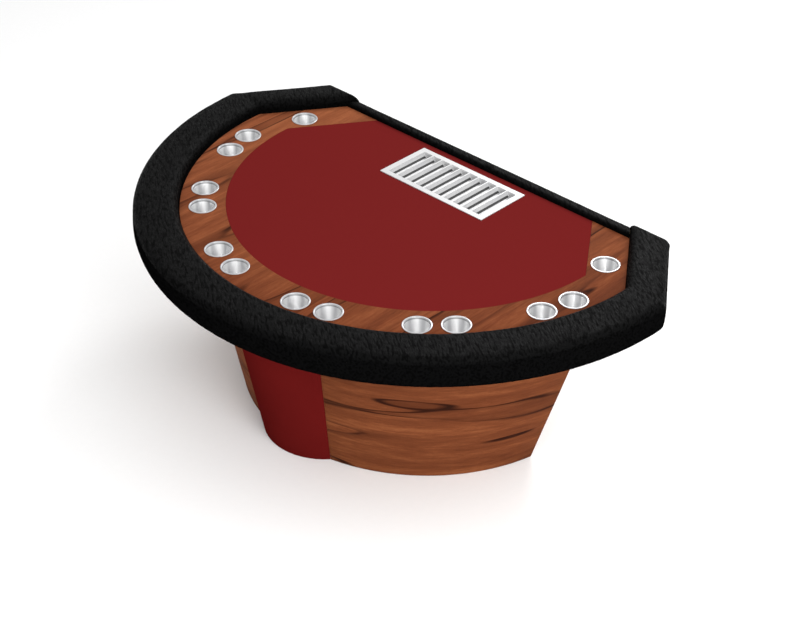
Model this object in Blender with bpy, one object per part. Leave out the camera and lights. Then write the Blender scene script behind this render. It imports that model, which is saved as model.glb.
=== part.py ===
"""Seven-seat blackjack table on a tapered pedestal.

Units are metres and +Z is up.  The origin is on the floor, under the centre of the
table's bounding box.  The players sit round the -Y side and the dealer stands at +Y.

Plan: every layer of the top is the same outline at its own radius, a half-round of the
players' side that runs on behind its two shoulders as straight slanted sides.  Depths
are measured from the half-round's centre towards the dealer.
Pedestal: one floor plan that grows evenly with height, so that its walls lean outwards.
"""

from math import acos, asin, cos, degrees, pi, radians, sin, sqrt

import bpy
import bmesh
from mathutils.geometry import tessellate_polygon

# ---------------------------------------------------------------- driving dimensions
FELT_Z = 0.732            # playing surface above the floor
ARC_Y = 0.383             # centre of the half-round
BACK_DEPTH = 0.310        # the dealer's edge behind that centre
SHOULDER = 0.018          # the half-round stops this far in front of its centre
SIDE_SLOPE = 0.702        # inward run of the straight sides per metre of depth
GAP = 0.0003              # clearance between pieces that touch

RAIL_OUTER_R = 1.076
RAIL_INNER_R = 0.9085
CORE_OUTER_R = 1.0195
CORE_INNER_R = 0.9255
FELT_R = 0.742
CUP_CIRCLE_R = 0.825

RAIL_BOTTOM = -0.0945     # heights below and above the playing surface
RAIL_TOP = 0.0455
BOARD_TOP = -0.0141       # top of the plywood deck
DECK_BOTTOM = -0.0361
RACETRACK_TOP = 0.0006
FRAME_DEPTH = 0.3035      # back end of the deck, the rail's core and the apron
STRIP_DEPTH = 0.2715      # front of the dealer's padded strip
RAIL_END_TOP = 0.0215     # the rail's top rounds down to this at its two ends
RAIL_END_RUN = 0.023      # length of that rounding

CUP_ANGLES = (10.5, 19.4, 40.3, 49.2, 69.7, 78.5)   # degrees off the table's centre line
END_CUP = (0.749, 0.080)  # place of the end cups, from the half-round's centre
CUP_FLANGE_R = 0.0507
CUP_MOUTH_R = 0.0450
CUP_FLOOR_R = 0.0400
CUP_WALL = 0.0013
CUP_DEPTH = 0.0620
CUP_HOLE_R = 0.0475

TRAY_HALF_X = 0.252
TRAY_FRONT = -0.002       # depths from the half-round's centre
TRAY_BACK = 0.237
TRAY_RIM = 0.0215
CHANNELS = 10
CHANNEL_PITCH = 0.0462
CHANNEL_R = 0.0205
TRAY_SHEET = 0.0021

PEDESTAL_R = 0.702        # floor plan of the pedestal, from the half-round's centre
PEDESTAL_ARC_Y = -0.0172
SEAM_X = 0.1769
BOW = 0.082               # how far the front panel stands out from its seams
TAPER_Y = -0.3364         # the plan grows about this point
GROWTH = 0.2662 / 0.6374  # growth of the plan per metre of height
PEDESTAL_BACK_Y = -0.1836
PANEL_BOTTOM = 0.002
PANEL_TOP = 0.655
PANEL_T = 0.018
FRONT_T = 0.012
PLATE_T = 0.018
INNER_INSET = PANEL_T + 0.0014   # pieces inside the walls clear the walls' flats
BASE_PLATE_Z = 0.010
TOP_PLATE_Z = 0.6372

ARC_STEPS = 40
ROUND_STEPS = 20
CUP_STEPS = 16


# ---------------------------------------------------------------- scene and materials
def clear_scene():
    for old in list(bpy.data.objects):
        bpy.data.objects.remove(old, do_unlink=True)


def material(name, colour, roughness, metallic=0.0):
    made = bpy.data.materials.new(name)
    made.use_nodes = True
    shader = made.node_tree.nodes["Principled BSDF"]
    shader.inputs["Base Color"].default_value = (*colour, 1.0)
    shader.inputs["Roughness"].default_value = roughness
    shader.inputs["Metallic"].default_value = metallic
    return made


def make_materials():
    return {
        "leather": material("black_leather", (0.010, 0.010, 0.011), 0.45),
        "walnut": material("walnut", (0.19, 0.065, 0.030), 0.35),
        "ply": material("plywood", (0.52, 0.36, 0.20), 0.60),
        "felt": material("red_felt", (0.19, 0.015, 0.017), 0.90),
        "foam": material("foam", (0.55, 0.50, 0.38), 0.95),
        "red": material("red_laminate", (0.11, 0.008, 0.010), 0.40),
        "steel": material("polished_steel", (0.75, 0.75, 0.75), 0.20, 1.0),
        "tray": material("tray_aluminium", (0.85, 0.85, 0.86), 0.30, 1.0),
        "black": material("black_stained_ply", (0.02, 0.02, 0.02), 0.55),
        "zinc": material("zinc_plated", (0.62, 0.62, 0.60), 0.35, 1.0),
        "rubber": material("glide_rubber", (0.03, 0.03, 0.03), 0.80),
    }


# ---------------------------------------------------------------- mesh helpers
def finish_object(name, mesh_bm, look, smooth=False, location=(0.0, 0.0, 0.0)):
    """Turn a bmesh into a named object at a location."""
    bmesh.ops.recalc_face_normals(mesh_bm, faces=mesh_bm.faces)
    mesh = bpy.data.meshes.new(name)
    mesh_bm.to_mesh(mesh)
    mesh_bm.free()
    mesh.materials.append(look)
    if smooth:
        mesh.shade_smooth()
        mesh.set_sharp_from_angle(angle=radians(40))
    made = bpy.data.objects.new(name, mesh)
    made.location = location
    bpy.context.collection.objects.link(made)
    return made


def bridge(mesh_bm, ring_a, ring_b, closed=True):
    """Join two equal rows of vertices with quads."""
    count = len(ring_a)
    for i in range(count if closed else count - 1):
        j = (i + 1) % count
        mesh_bm.faces.new((ring_a[i], ring_a[j], ring_b[j], ring_b[i]))


def cap(mesh_bm, loops):
    """Fill a flat outline, whose first loop is the outside and the rest are holes."""
    flat = [vertex for loop in loops for vertex in loop]
    for a, b, c in tessellate_polygon([[v.co for v in loop] for loop in loops]):
        mesh_bm.faces.new((flat[a], flat[b], flat[c]))


def prism(name, outline, z0, z1, look, holes=()):
    """A flat board between two heights, with any number of holes straight through."""
    mesh_bm = bmesh.new()
    loops = [outline, *holes]
    low = [[mesh_bm.verts.new((x, y, z0)) for x, y in loop] for loop in loops]
    high = [[mesh_bm.verts.new((x, y, z1)) for x, y in loop] for loop in loops]
    for ring_low, ring_high in zip(low, high):
        bridge(mesh_bm, ring_low, ring_high)
    cap(mesh_bm, low)
    cap(mesh_bm, high)
    return finish_object(name, mesh_bm, look)


def loft(name, section, z0, z1, look, smooth=False):
    """A leaning solid: section(z) gives its outline at a height."""
    mesh_bm = bmesh.new()
    low = [mesh_bm.verts.new((x, y, z0)) for x, y in section(z0)]
    high = [mesh_bm.verts.new((x, y, z1)) for x, y in section(z1)]
    bridge(mesh_bm, low, high)
    cap(mesh_bm, [low])
    cap(mesh_bm, [high])
    return finish_object(name, mesh_bm, look, smooth)


def turned(name, profile, centre, look, steps=ROUND_STEPS, smooth=True):
    """A turned solid from (radius, height) points; the first and last lie on the axis."""
    mesh_bm = bmesh.new()
    rings = []
    for radius, height in profile[1:-1]:
        ring = []
        for i in range(steps):
            angle = 2 * pi * i / steps
            ring.append(mesh_bm.verts.new((radius * cos(angle), radius * sin(angle), height)))
        rings.append(ring)
    for ring_a, ring_b in zip(rings, rings[1:]):
        bridge(mesh_bm, ring_a, ring_b)
    for (_, height), ring in ((profile[0], rings[0]), (profile[-1], rings[-1])):
        pole = mesh_bm.verts.new((0.0, 0.0, height))
        for i in range(steps):
            mesh_bm.faces.new((pole, ring[i], ring[(i + 1) % steps]))
    return finish_object(name, mesh_bm, look, smooth, centre)


def arc(centre, radius, start, end, steps):
    """Points of an arc, in degrees; both ends are included."""
    points = []
    for i in range(steps + 1):
        angle = radians(start + (end - start) * i / steps)
        points.append((centre[0] + radius * cos(angle), centre[1] + radius * sin(angle)))
    return points


def circle(centre, radius, steps):
    return arc(centre, radius, 0, 360 - 360 / steps, steps - 1)


def mirrored(points, sign):
    return [(sign * x, y) for x, y in points]


# ---------------------------------------------------------------- plan of the top
def side_x(radius, depth):
    """Half the width of the table's outline at a radius, behind its shoulders."""
    return sqrt(radius ** 2 - SHOULDER ** 2) - SIDE_SLOPE * (depth + SHOULDER)


def side_path(radius, *depths):
    """The table's outline at a radius, from its right back end round to its left one."""
    shoulder = degrees(asin(SHOULDER / radius))
    half_round = arc((0.0, ARC_Y), radius, -shoulder, shoulder - 180, ARC_STEPS)
    right = [(side_x(radius, depth), ARC_Y + depth) for depth in depths]
    return [*right, *half_round, *mirrored(right[::-1], -1)]


def swept(name, section, ends, look):
    """Sweep a closed (radius, height) section along the table's outline.

    ends gives (depth, greatest height) for the stations on the straight sides.
    """
    mesh_bm = bmesh.new()
    depths = [depth for depth, _ in ends]
    columns = [side_path(radius, *depths) for radius, _ in section]
    limits = [top for _, top in ends]
    limits = [*limits, *[limits[-1]] * (ARC_STEPS + 1), *limits[::-1]]
    stations = []
    for i, top in enumerate(limits):
        ring = []
        for column, (_, height) in zip(columns, section):
            x, y = column[i]
            ring.append(mesh_bm.verts.new((x, y, FELT_Z + min(height, top))))
        stations.append(ring)
    for ring_a, ring_b in zip(stations, stations[1:]):
        bridge(mesh_bm, ring_a, ring_b)
    cap(mesh_bm, [stations[0]])
    cap(mesh_bm, [stations[-1]])
    return finish_object(name, mesh_bm, look, smooth=True)


def half_ring(outer_r, inner_r, depth):
    """Outline of a U-shaped board between two radii, open on the dealer's side."""
    return side_path(outer_r, depth) + side_path(inner_r, depth)[::-1]


def cup_centres():
    """Cup holes in order round the table, from the right end to the left end."""
    centres = [(END_CUP[0], ARC_Y + END_CUP[1])]
    for sign in (1, -1):
        angles = sorted(CUP_ANGLES, reverse=sign > 0)
        for angle in angles:
            turn = radians(angle)
            centres.append((sign * CUP_CIRCLE_R * sin(turn), ARC_Y - CUP_CIRCLE_R * cos(turn)))
    centres.append((-END_CUP[0], ARC_Y + END_CUP[1]))
    return centres


def tray_opening():
    """Cut-out for the chip tray's body, a little larger than the body."""
    half = TRAY_HALF_X - 0.019
    front = ARC_Y + TRAY_FRONT + 0.019
    back = ARC_Y + TRAY_BACK - 0.019
    return [(-half, front), (half, front), (half, back), (-half, back)]


# ---------------------------------------------------------------- the top
RAIL_BOLT_R = 0.972       # circle of the bolts that hold the rail to the deck
RAIL_BOLT_ANGLES = [-(15 + 30 * i) for i in range(6)]


def rail_bolt_centres():
    centres = []
    for angle in RAIL_BOLT_ANGLES:
        turn = radians(angle)
        centres.append((RAIL_BOLT_R * cos(turn), ARC_Y + RAIL_BOLT_R * sin(turn)))
    return centres


def make_boards(looks):
    cup_holes = [circle(centre, CUP_HOLE_R, ROUND_STEPS) for centre in cup_centres()]
    bolt_holes = [circle(centre, 0.0046, 8) for centre in rail_bolt_centres()]
    prism("table_deck", side_path(CORE_OUTER_R, FRAME_DEPTH), FELT_Z + DECK_BOTTOM,
          FELT_Z + BOARD_TOP, looks["ply"], [*cup_holes, *bolt_holes, tray_opening()])
    prism("racetrack", half_ring(RAIL_INNER_R - 2 * GAP, FELT_R + GAP, STRIP_DEPTH - 2 * GAP),
          FELT_Z + BOARD_TOP + GAP, FELT_Z + RACETRACK_TOP, looks["walnut"], cup_holes)
    felt_outline = side_path(FELT_R - GAP, STRIP_DEPTH - 2 * GAP)
    prism("felt_underlay", felt_outline, FELT_Z + BOARD_TOP + GAP, FELT_Z - 0.0018,
          looks["foam"], [tray_opening()])
    prism("playing_felt", felt_outline, FELT_Z - 0.0015, FELT_Z, looks["felt"],
          [tray_opening()])
    prism("arm_rail_core", half_ring(CORE_OUTER_R, CORE_INNER_R, FRAME_DEPTH),
          FELT_Z + BOARD_TOP + GAP, FELT_Z + 0.016, looks["ply"], bolt_holes)
    prism("arm_rail_apron", half_ring(1.0080, 0.9900, FRAME_DEPTH), FELT_Z - 0.0900,
          FELT_Z + DECK_BOTTOM - GAP, looks["ply"])


def make_arm_rail_pad(looks):
    """Foam and leather wrapped over the core and the apron, with a bull-nosed outside."""
    nose = arc((RAIL_OUTER_R - 0.064, RAIL_BOTTOM + 0.064), 0.064, -90, 0, 5)
    shoulder = arc((RAIL_OUTER_R - 0.028, 0.041 - 0.028), 0.028, 0, 90, 4)
    crown = [(0.998, 0.0435), (0.948, RAIL_TOP)]
    inner_lip = arc((RAIL_INNER_R + 0.034, 0.010), 0.034, 100, 180, 4)
    inside = [
        (RAIL_INNER_R, BOARD_TOP + 2 * GAP),
        (CORE_INNER_R - GAP, BOARD_TOP + 2 * GAP),
        (CORE_INNER_R - GAP, 0.0163),
        (CORE_OUTER_R + 2 * GAP, 0.0163),
        (CORE_OUTER_R + 2 * GAP, DECK_BOTTOM - GAP),
        (1.0083, DECK_BOTTOM - GAP),
        (1.0083, RAIL_BOTTOM),
    ]
    drop = RAIL_TOP - RAIL_END_TOP
    ends = []
    for turn in (radians(90), radians(60), radians(30), 0.0):
        depth = BACK_DEPTH - RAIL_END_RUN * (1 - sin(turn))
        ends.append((depth, RAIL_TOP - drop * (1 - cos(turn))))
    swept("arm_rail_pad", nose + shoulder + crown + inner_lip + inside, ends,
          looks["leather"])


def along_back(name, section, side_r, look):
    """Run a closed (depth, height) section across the dealer's side, ends slanted."""
    mesh_bm = bmesh.new()
    ends = []
    for sign in (-1, 1):
        ring = []
        for depth, height in section:
            x = sign * side_x(side_r, depth)
            ring.append(mesh_bm.verts.new((x, ARC_Y + depth, FELT_Z + height)))
        ends.append(ring)
    bridge(mesh_bm, ends[0], ends[1])
    cap(mesh_bm, [ends[0]])
    cap(mesh_bm, [ends[1]])
    return finish_object(name, mesh_bm, look, smooth=True)


def make_dealer_edge(looks):
    """Low padded strip on its own batten, and the board that closes the back below."""
    top = 0.0195
    batten_top = 0.0110
    batten_front = STRIP_DEPTH + 0.007
    front_round = arc((STRIP_DEPTH + 0.007, top - 0.007), 0.007, 180, 90, 3)
    back_round = arc((BACK_DEPTH - 0.005, top - 0.005), 0.005, 90, 0, 3)
    inside = [
        (BACK_DEPTH, DECK_BOTTOM - 0.004),
        (FRAME_DEPTH + 2 * GAP, DECK_BOTTOM - 0.004),
        (FRAME_DEPTH + 2 * GAP, batten_top + GAP),
        (batten_front - GAP, batten_top + GAP),
        (batten_front - GAP, BOARD_TOP + 2 * GAP),
        (STRIP_DEPTH, BOARD_TOP + 2 * GAP),
    ]
    along_back("dealer_strip_pad", front_round + back_round + inside, RAIL_INNER_R - 2 * GAP,
               looks["leather"])
    batten = [
        (batten_front, BOARD_TOP + GAP),
        (FRAME_DEPTH, BOARD_TOP + GAP),
        (FRAME_DEPTH, batten_top),
        (batten_front, batten_top),
    ]
    along_back("dealer_strip_core", batten, RAIL_INNER_R - 2 * GAP, looks["ply"])
    board = [
        (FRAME_DEPTH - 0.018, -0.0900),
        (FRAME_DEPTH, -0.0900),
        (FRAME_DEPTH, DECK_BOTTOM - GAP),
        (FRAME_DEPTH - 0.018, DECK_BOTTOM - GAP),
    ]
    along_back("rear_apron", board, 0.9900 - 2 * GAP, looks["black"])


def make_cups(looks):
    """Drop-in cups: a flat rolled flange over a slightly tapered straight-sided well."""
    seat = RACETRACK_TOP + GAP
    rim = seat + 0.0022
    bottom = RACETRACK_TOP - CUP_DEPTH
    profile = [
        (0.0, bottom - CUP_WALL),
        (CUP_FLOOR_R + CUP_WALL, bottom - CUP_WALL),
        (CUP_MOUTH_R + CUP_WALL, seat),
        (CUP_FLANGE_R, seat),
        (CUP_FLANGE_R, rim),
        (CUP_MOUTH_R, rim),
        (CUP_FLOOR_R, bottom),
        (0.0, bottom),
    ]
    for number, (x, y) in enumerate(cup_centres(), start=1):
        turned(f"cup_{number:02d}", profile, (x, y, FELT_Z), looks["steel"], CUP_STEPS)


# ---------------------------------------------------------------- the chip tray
def tray_row(radius, brow, steps):
    """One cross-section of the channels: (x, drop) points from left to right."""
    first = asin(brow / radius)
    shoulder = (CHANNELS - 1) / 2 * CHANNEL_PITCH + radius + GAP
    points = [(-shoulder, 0.0)]
    for i in range(CHANNELS):
        middle = (i - (CHANNELS - 1) / 2) * CHANNEL_PITCH
        for k in range(steps + 1):
            angle = pi + first + (pi - 2 * first) * k / steps
            points.append((middle + radius * cos(angle), radius * sin(angle)))
    return [*points, (shoulder, 0.0)]


def tray_surface(mesh_bm, row, edge, level, rims, channel):
    """Rows of vertices across the tray, flat at both rims and channelled between."""
    rows = []
    for depth, is_channel in zip((*rims[:2], *channel, *rims[2:]), (0, 0, 1, 1, 0, 0)):
        line = [mesh_bm.verts.new((-edge, ARC_Y + depth, level))]
        for x, drop in row:
            z = min(level, FELT_Z + 0.0033 + drop) if is_channel else level
            line.append(mesh_bm.verts.new((x, ARC_Y + depth, z)))
        line.append(mesh_bm.verts.new((edge, ARC_Y + depth, level)))
        rows.append(line)
    for line_a, line_b in zip(rows, rows[1:]):
        bridge(mesh_bm, line_a, line_b, closed=False)
    return rows


def make_chip_tray(looks):
    """A pressed aluminium tray: half-round channels under a flat rim."""
    top = FELT_Z + 0.0033
    under = FELT_Z + GAP
    front = TRAY_FRONT + TRAY_RIM
    back = TRAY_BACK - TRAY_RIM
    mesh_bm = bmesh.new()
    upper = tray_surface(
        mesh_bm, tray_row(CHANNEL_R, 0.0, 6), TRAY_HALF_X, top,
        (TRAY_FRONT, front, back, TRAY_BACK), (front + 0.0008, back - 0.0008))
    lower = tray_surface(
        mesh_bm, tray_row(CHANNEL_R + TRAY_SHEET, 0.011, 5), TRAY_HALF_X, under,
        (TRAY_FRONT, front - TRAY_SHEET, back + TRAY_SHEET, TRAY_BACK),
        (front + 0.0008 - TRAY_SHEET, back - 0.0008 + TRAY_SHEET))
    for upper_line, lower_line in ((upper[0], lower[0]), (upper[-1], lower[-1])):
        cap(mesh_bm, [upper_line + lower_line[::-1]])
    for side in (0, -1):
        bridge(mesh_bm, [line[side] for line in upper], [line[side] for line in lower],
               closed=False)
    finish_object("chip_tray", mesh_bm, looks["tray"], smooth=True)


# ---------------------------------------------------------------- the pedestal
SEAM_ANGLE = asin(SEAM_X / PEDESTAL_R)
SEAM_Y = PEDESTAL_ARC_Y - PEDESTAL_R * cos(SEAM_ANGLE)
BOW_R = (SEAM_X ** 2 + BOW ** 2) / (2 * BOW)
BOW_ARC_Y = SEAM_Y - BOW + BOW_R
BOW_ANGLE = asin(SEAM_X / BOW_R)


def growth(z):
    return 1 + GROWTH * z


def grown_y(y, z):
    """Where a depth of the floor plan lies at a height."""
    return ARC_Y + TAPER_Y + growth(z) * (y - TAPER_Y)


def wall_point(z, inset, angle):
    """A point on the side walls' circle, inset from their outside."""
    radius = PEDESTAL_R * growth(z) - inset
    return (radius * sin(angle), grown_y(PEDESTAL_ARC_Y, z) - radius * cos(angle))


def wall_angle(z, inset, y):
    """The angle at which that circle crosses a depth."""
    radius = PEDESTAL_R * growth(z) - inset
    return acos((grown_y(PEDESTAL_ARC_Y, z) - y) / radius)


def wall_arc(z, inset, start, end, steps):
    return [wall_point(z, inset, start + (end - start) * i / steps) for i in range(steps + 1)]


def rounded_corner(before, tip, after, steps=3):
    """A smooth corner between two points, pulled towards the tip."""
    points = []
    for i in range(steps + 1):
        t = i / steps
        weights = ((1 - t) ** 2, 2 * t * (1 - t), t ** 2)
        points.append(tuple(
            weights[0] * a + weights[1] * b + weights[2] * c
            for a, b, c in zip(before, tip, after)))
    return points


def side_panel_section(sign):
    ease = 0.005

    def section(z):
        back = grown_y(PEDESTAL_BACK_Y, z)
        start = SEAM_ANGLE + GAP / PEDESTAL_R
        outside_end = wall_angle(z, 0.0, back - ease)
        outside = wall_arc(z, 0.0, start, outside_end, 14)
        tip = wall_point(z, 0.0, wall_angle(z, 0.0, back))
        rounding = rounded_corner(outside[-1], tip, (tip[0] - ease, back))
        inside = wall_arc(z, PANEL_T, wall_angle(z, PANEL_T, back), start, 14)
        return mirrored(outside + rounding[1:] + inside, sign)

    return section


def bow_arc(z, inset, half_angle, steps):
    radius = BOW_R * growth(z) - inset
    centre_y = grown_y(BOW_ARC_Y, z)
    angles = [half_angle * (2 * i / steps - 1) for i in range(steps + 1)]
    return [(radius * sin(angle), centre_y - radius * cos(angle)) for angle in angles]


def front_panel_section(z):
    half_angle = BOW_ANGLE - GAP / BOW_R
    return bow_arc(z, 0.0, half_angle, 16) + bow_arc(z, FRONT_T, half_angle, 16)[::-1]


def back_panel_section(z):
    back = grown_y(PEDESTAL_BACK_Y, z)
    inset = INNER_INSET
    outer = wall_point(z, inset, wall_angle(z, inset, back))
    inner = wall_point(z, inset, wall_angle(z, inset, back - PANEL_T))
    return [inner, outer, (-outer[0], back), (-inner[0], back - PANEL_T)]


def plate_section(z):
    back = grown_y(PEDESTAL_BACK_Y, z) - PANEL_T - 2 * GAP
    end = wall_angle(z, INNER_INSET, back)
    return wall_arc(z, INNER_INSET, -end, end, 28)


def post_section(start, end, sign):
    def section(z):
        outside = wall_arc(z, INNER_INSET, start, end, 2)
        inside = wall_arc(z, INNER_INSET + 0.030, end, start, 2)
        return mirrored(outside + inside, sign)

    return section


def bow_former_section(z):
    """Shaped block between a plate's round front and the inside of the bowed panel."""
    reach = 0.150 * growth(z)
    bow_inset = FRONT_T + 0.0014
    bow_r = BOW_R * growth(z) - bow_inset
    plate_inset = INNER_INSET - 0.0012
    plate_r = PEDESTAL_R * growth(z) - plate_inset
    outside = bow_arc(z, bow_inset, asin(reach / bow_r), 8)
    end = asin(reach / plate_r)
    return outside + wall_arc(z, plate_inset, end, -end, 8)


BEARER_X = 0.40           # the two long bearers lie between the cups
BEARER_W = 0.040
PEDESTAL_BOLT_DEPTHS = (-0.650, -0.220)


def pedestal_bolt_centres():
    return [(sign * BEARER_X, ARC_Y + depth) for sign in (-1, 1)
            for depth in PEDESTAL_BOLT_DEPTHS]


def box_outline(x0, x1, y0, y1):
    return [(x0, ARC_Y + y0), (x1, ARC_Y + y0), (x1, ARC_Y + y1), (x0, ARC_Y + y1)]


def make_pedestal(looks):
    for side, sign in (("left", -1), ("right", 1)):
        loft(f"pedestal_side_{side}", side_panel_section(sign), PANEL_BOTTOM, PANEL_TOP,
             looks["walnut"], smooth=True)
        post_z = (BASE_PLATE_Z + PLATE_T + GAP, TOP_PLATE_Z - GAP)
        loft(f"seam_upright_{side}",
             post_section(SEAM_ANGLE - radians(1.2), SEAM_ANGLE + radians(2.2), sign),
             *post_z, looks["ply"])
        loft(f"back_post_{side}", post_section(radians(69.5), radians(73.0), sign),
             *post_z, looks["ply"])
    loft("pedestal_front", front_panel_section, PANEL_BOTTOM, PANEL_TOP, looks["red"],
         smooth=True)
    loft("pedestal_back", back_panel_section, PANEL_BOTTOM, PANEL_TOP, looks["walnut"])
    loft("base_plate", plate_section, BASE_PLATE_Z, BASE_PLATE_Z + PLATE_T, looks["ply"])
    bolt_holes = [circle(centre, 0.0046, 8) for centre in pedestal_bolt_centres()]
    prism("top_plate", plate_section(TOP_PLATE_Z), TOP_PLATE_Z, TOP_PLATE_Z + PLATE_T,
          looks["ply"], bolt_holes)
    loft("bow_former_lower", bow_former_section, BASE_PLATE_Z, BASE_PLATE_Z + PLATE_T,
         looks["ply"])
    loft("bow_former_upper", bow_former_section, TOP_PLATE_Z, TOP_PLATE_Z + PLATE_T,
         looks["ply"])


def make_bearers(looks):
    low = TOP_PLATE_Z + PLATE_T + GAP
    high = FELT_Z + DECK_BOTTOM - GAP
    half = BEARER_W / 2
    for side, sign in (("left", -1), ("right", 1)):
        x = sign * BEARER_X
        holes = [circle(centre, 0.0046, 8) for centre in pedestal_bolt_centres()
                 if centre[0] == x]
        prism(f"long_bearer_{side}", box_outline(x - half, x + half, -0.880, 0.280), low,
              high, looks["ply"], holes)
        ends = sorted((sign * (BEARER_X + half + GAP), sign * 0.930))
        prism(f"side_bearer_{side}", box_outline(*ends, -0.060, -0.020), low, high,
              looks["ply"])
    inner = BEARER_X - half - GAP
    prism("cross_bearer_front", box_outline(-inner, inner, -0.700, -0.660), low, high,
          looks["ply"])
    prism("cross_bearer_back", box_outline(-inner, inner, 0.236, 0.276), low, high,
          looks["ply"])


# ---------------------------------------------------------------- bolts and glides
def bolt(name, centre, head_top, shank, looks):
    """A button-headed bolt, head down, whose shank runs up from its seat."""
    profile = [
        (0.0, -0.0050),
        (0.0060, -0.0050),
        (0.0085, 0.0),
        (0.0040, 0.0),
        (0.0040, shank),
        (0.0, shank),
    ]
    turned(name, profile, (*centre, head_top), looks["zinc"], steps=8, smooth=False)


def make_bolts(looks):
    for number, centre in enumerate(rail_bolt_centres(), start=1):
        bolt(f"rail_bolt_{number}", centre, FELT_Z + DECK_BOTTOM - GAP, 0.046, looks)
    for number, centre in enumerate(pedestal_bolt_centres(), start=1):
        bolt(f"pedestal_bolt_{number}", centre, TOP_PLATE_Z - GAP, 0.050, looks)


def make_glides(looks):
    profile = [
        (0.0, 0.0),
        (0.0170, 0.0),
        (0.0190, 0.0025),
        (0.0190, BASE_PLATE_Z - GAP),
        (0.0, BASE_PLATE_Z - GAP),
    ]
    places = [wall_point(0.0, 0.060, radians(angle)) for angle in (-70, -40, -12, 12, 40, 70)]
    for number, (x, y) in enumerate(places, start=1):
        turned(f"floor_glide_{number}", profile, (x, y, 0.0), looks["rubber"], steps=16)


def main():
    clear_scene()
    looks = make_materials()
    make_boards(looks)
    make_arm_rail_pad(looks)
    make_dealer_edge(looks)
    make_chip_tray(looks)
    make_cups(looks)
    make_pedestal(looks)
    make_bearers(looks)
    make_bolts(looks)
    make_glides(looks)


main()
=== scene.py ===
from math import acos, asin, cos, hypot, pi, radians, sin

import bmesh
import bpy
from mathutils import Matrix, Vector
from mathutils.geometry import tessellate_polygon


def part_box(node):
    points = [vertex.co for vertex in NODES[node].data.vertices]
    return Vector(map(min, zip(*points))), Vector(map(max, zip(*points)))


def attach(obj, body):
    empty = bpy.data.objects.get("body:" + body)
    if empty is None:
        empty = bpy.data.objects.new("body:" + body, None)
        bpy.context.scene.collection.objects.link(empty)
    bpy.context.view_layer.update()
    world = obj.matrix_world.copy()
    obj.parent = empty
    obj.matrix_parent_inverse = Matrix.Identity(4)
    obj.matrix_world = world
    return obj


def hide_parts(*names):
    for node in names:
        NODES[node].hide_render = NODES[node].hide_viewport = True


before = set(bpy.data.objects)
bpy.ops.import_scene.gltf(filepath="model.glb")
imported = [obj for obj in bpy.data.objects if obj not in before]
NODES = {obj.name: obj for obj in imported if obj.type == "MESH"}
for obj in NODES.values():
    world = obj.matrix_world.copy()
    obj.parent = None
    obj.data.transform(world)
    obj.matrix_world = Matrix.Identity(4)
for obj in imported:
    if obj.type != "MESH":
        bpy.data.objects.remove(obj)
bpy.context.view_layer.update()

# ------------------------------------------------------------ sizes, from the frame
RAIL_LOW, RAIL_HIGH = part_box("arm_rail_pad")
FELT_LOW, FELT_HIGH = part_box("playing_felt")
WOOD_LOW, WOOD_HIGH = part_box("racetrack")
TRAY_LOW, TRAY_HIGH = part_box("chip_tray")
STRIP_LOW, STRIP_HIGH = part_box("dealer_strip_pad")
FRONT_LOW, FRONT_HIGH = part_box("pedestal_front")
CORE_LOW, CORE_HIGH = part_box("arm_rail_core")
CUPS = [name for name in sorted(NODES) if name.startswith("cup_")]

FELT_Z = FELT_HIGH[2]
GAP = 0.0003                          # clearance between neighbouring pieces
ARC_Y = 0.383                         # centre of the half-round, as the CAD has it
SHOULDER = 0.018                      # the half-round stops this far in front of it
SIDE_SLOPE = 0.702                    # inward run of the straight sides per metre
RAIL_R = ARC_Y - RAIL_LOW[1]
WOOD_R = ARC_Y - WOOD_LOW[1]
RAIL_INNER_R = WOOD_R + 2 * GAP
FELT_R = ARC_Y - FELT_LOW[1]
CORE_R = ARC_Y - CORE_LOW[1]
APRON_R = ARC_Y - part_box("arm_rail_apron")[0][1]
BACK_DEPTH = RAIL_HIGH[1] - ARC_Y     # the dealer's edge behind that centre
STRIP_DEPTH = STRIP_LOW[1] - ARC_Y
CORE_DEPTH = CORE_HIGH[1] - ARC_Y
RAIL_TOP = RAIL_HIGH[2] - FELT_Z

PEDESTAL_R = 0.702                    # floor plan of the pedestal, as the CAD has it
PEDESTAL_ARC_Y = -0.0172
SEAM_X = 0.1769
BOW = 0.082
TAPER_Y = -0.3364
GROWTH = 0.2662 / 0.6374
PEDESTAL_BACK_Y = -0.1836
PANEL_T = 0.018
FRONT_T = 0.012

CHANNELS = 10                         # the chip tray, as the CAD has it
CHANNEL_PITCH = 0.0462
CHANNEL_R = 0.0205
TRAY_SHEET = 0.0021
TRAY_RIM = 0.0215
TRAY_COVER = 0.019                    # width of the rim that lies on the cloth


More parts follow.
